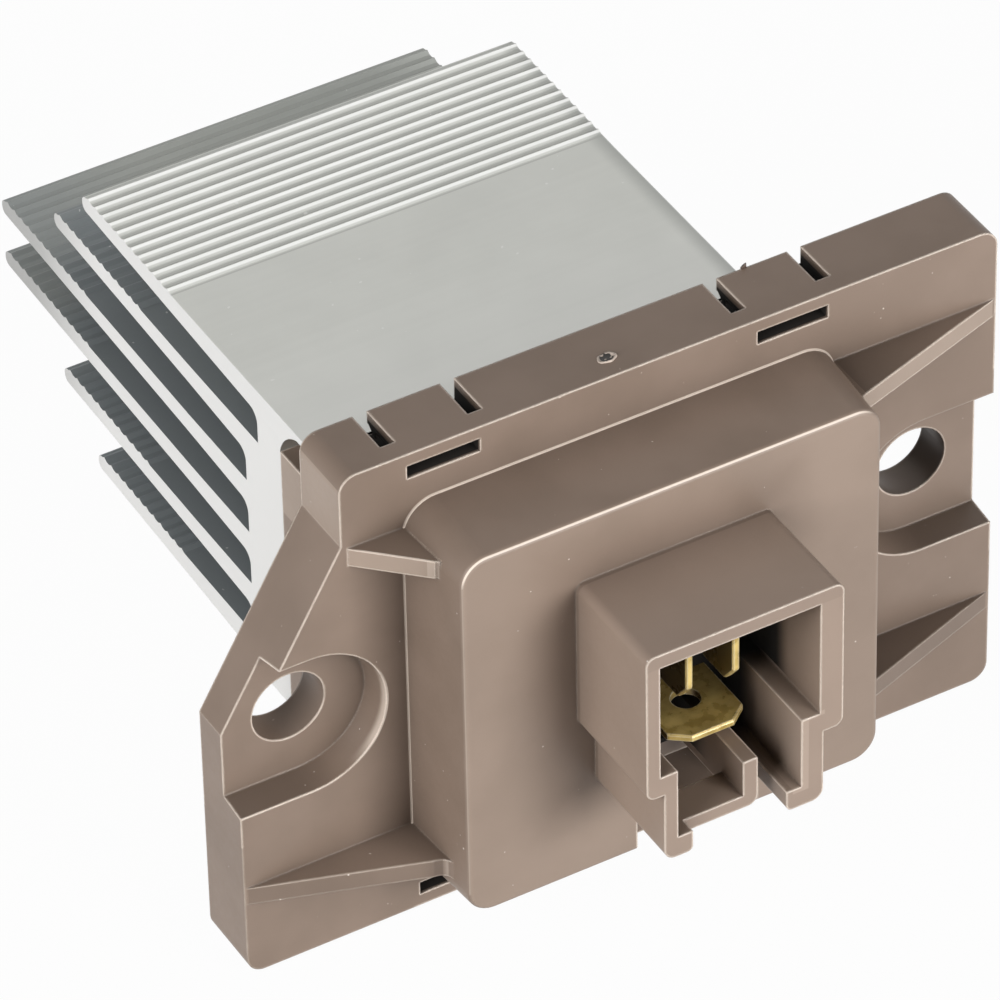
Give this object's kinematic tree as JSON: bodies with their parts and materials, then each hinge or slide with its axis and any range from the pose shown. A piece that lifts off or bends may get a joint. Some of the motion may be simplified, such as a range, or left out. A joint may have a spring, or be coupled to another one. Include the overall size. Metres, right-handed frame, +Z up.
{
  "type": "blower motor resistor",
  "caption": "Finned aluminium heat sink behind a brown moulded flange with screw ears, a raised block and a bladed plug socket.",
  "frame": {"origin": "midway between the two screw holes, on the flange's rear plane", "axes": "+X along the flange towards its straight end, +Y backwards along the fins, +Z up; the plug socket faces -Y"},
  "size_m": [0.0624, 0.071, 0.0419],
  "materials": {
    "brown_plastic": "satin, glass filled",
    "extruded_aluminium": "satin, as extruded",
    "blade_brass": "bright",
    "board_laminate": "satin",
    "screw_steel": "zinc plated",
    "pad_rubber": "matt grey",
    "tinned_metal": "tin plated",
    "black_resin": "matt black",
    "can_aluminium": "bright"
  },
  "bodies": {
    "root": {"housing": "brown_plastic", "heat_sink": "extruded_aluminium", "terminal_lower": "blade_brass", "terminal_upper_left": "blade_brass", "terminal_upper_right": "blade_brass", "circuit_board": "board_laminate", "board_screws": "screw_steel", "thermal_pad": "pad_rubber", "transistor_tab": "tinned_metal", "transistor_body": "black_resin", "transistor_leads": "tinned_metal", "transistor_screw": "screw_steel", "capacitor_base": "black_resin", "capacitor_can": "can_aluminium", "diode_body": "black_resin", "diode_ends": "tinned_metal", "control_chip": "black_resin", "control_chip_legs": "tinned_metal", "chip_resistors": "black_resin", "solder_joints": "tinned_metal"}
  },
  "joints": []
}
